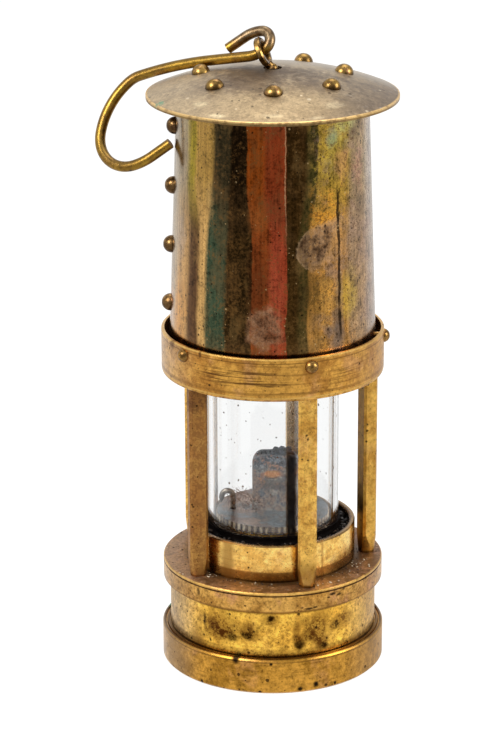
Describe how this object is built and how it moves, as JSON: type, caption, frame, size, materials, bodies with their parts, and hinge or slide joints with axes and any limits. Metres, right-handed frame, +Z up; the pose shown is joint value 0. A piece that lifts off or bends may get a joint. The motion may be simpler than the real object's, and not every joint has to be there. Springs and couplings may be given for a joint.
{
  "type": "miners lamp",
  "caption": "Brass flame safety lamp: round fuel vessel, chimney glass caged by pillars, tall riveted hood, shallow domed cap and a long wire carrying hook lying over the cap",
  "frame": {"origin": "centre of the foot, on the ground", "axes": "+Z up along the lamp's axis, front towards -Y, hook hangs off towards -X"},
  "size_m": [0.1169, 0.0966, 0.2541],
  "materials": {
    "base_brass": "worn, pitted",
    "vessel_brass": "polished, spotted with brown stains",
    "inner_brass": "plain turned",
    "plate_brass": "tarnished brown on top",
    "collar_brass": "polished",
    "pillar_brass": "polished, pitted",
    "band_brass": "worn and scratched",
    "hood_brass": "polished, heat-tarnished",
    "cap_brass": "dull, tarnished",
    "rivet_brass": "polished",
    "hook_brass": "polished by use",
    "burner_metal": "dull, sooted",
    "wire_steel": "dark",
    "soot_seal": "black, lumpy, glossy",
    "glass": "clear",
    "wick_cotton": "charred",
    "wadding_cotton": "loose cotton",
    "gasket_leather": "dark",
    "gauze_steel": "fine woven"
  },
  "bodies": {
    "vessel": {"base_ring": "base_brass", "vessel_body": "vessel_brass", "vessel_bottom": "inner_brass", "fuel_wadding": "wadding_cotton", "burner_disc": "burner_metal", "wick_tube": "burner_metal", "wick": "wick_cotton", "pricker_tube": "inner_brass", "gland_nut": "inner_brass"},
    "gasket": {"vessel_gasket": "gasket_leather"},
    "cage": {"lower_plate": "plate_brass", "glass_collar": "collar_brass", "glass_seat_ring": "soot_seal", "lower_glass_washer": "soot_seal", "glass_chimney": "glass", "upper_glass_washer": "soot_seal", "pillar_1": "pillar_brass", "pillar_2": "pillar_brass", "pillar_3": "pillar_brass", "pillar_4": "pillar_brass", "pillar_5": "pillar_brass", "upper_plate": "plate_brass", "band": "band_brass", "band_screws": "rivet_brass", "hood_ring": "inner_brass", "gauze_ring": "inner_brass", "gauze": "gauze_steel", "hood": "hood_brass", "seam_rivets": "rivet_brass", "crown_plate": "inner_brass", "cap": "cap_brass", "cap_rivets": "rivet_brass"},
    "swivel": {"swivel_eye": "hook_brass", "swivel_washer": "inner_brass"},
    "hook": {"hook": "hook_brass"},
    "packing": {"pricker_packing": "gasket_leather"},
    "pricker": {"pricker": "wire_steel"}
  },
  "joints": [
    {"name": "gasket_lift", "type": "slide", "parent": "vessel", "child": "gasket", "axis": [0, 0, 1], "range_m": [0, 0.0045]},
    {"name": "cage_turn", "type": "hinge", "parent": "gasket", "child": "cage", "pos_m": [0, 0, 0.0337], "axis": [0, 0, 1], "range_deg": [0, 1080]},
    {"name": "swivel_turn", "type": "hinge", "parent": "cage", "child": "swivel", "pos_m": [0, 0, 0.2335], "axis": [0, 0, 1], "range_deg": [-22, 0]},
    {"name": "hook_swing", "type": "hinge", "parent": "swivel", "child": "hook", "pos_m": [-0.00467, 0.00359, 0.24851], "axis": [0.4743, 0.7085, -0.5225], "range_deg": [0, 120]},
    {"name": "pricker_turn", "type": "hinge", "parent": "vessel", "child": "packing", "pos_m": [-0.0157, -0.001, 0.0145], "axis": [0, 0, 1], "continuous": true},
    {"name": "pricker_slide", "type": "slide", "parent": "packing", "child": "pricker", "axis": [0, 0, 1], "range_m": [0, 0.005]}
  ],
  "couplings": [
    {"joint": "gasket_lift", "follows": "cage_turn", "m_per_rad": 0.00023873}
  ]
}
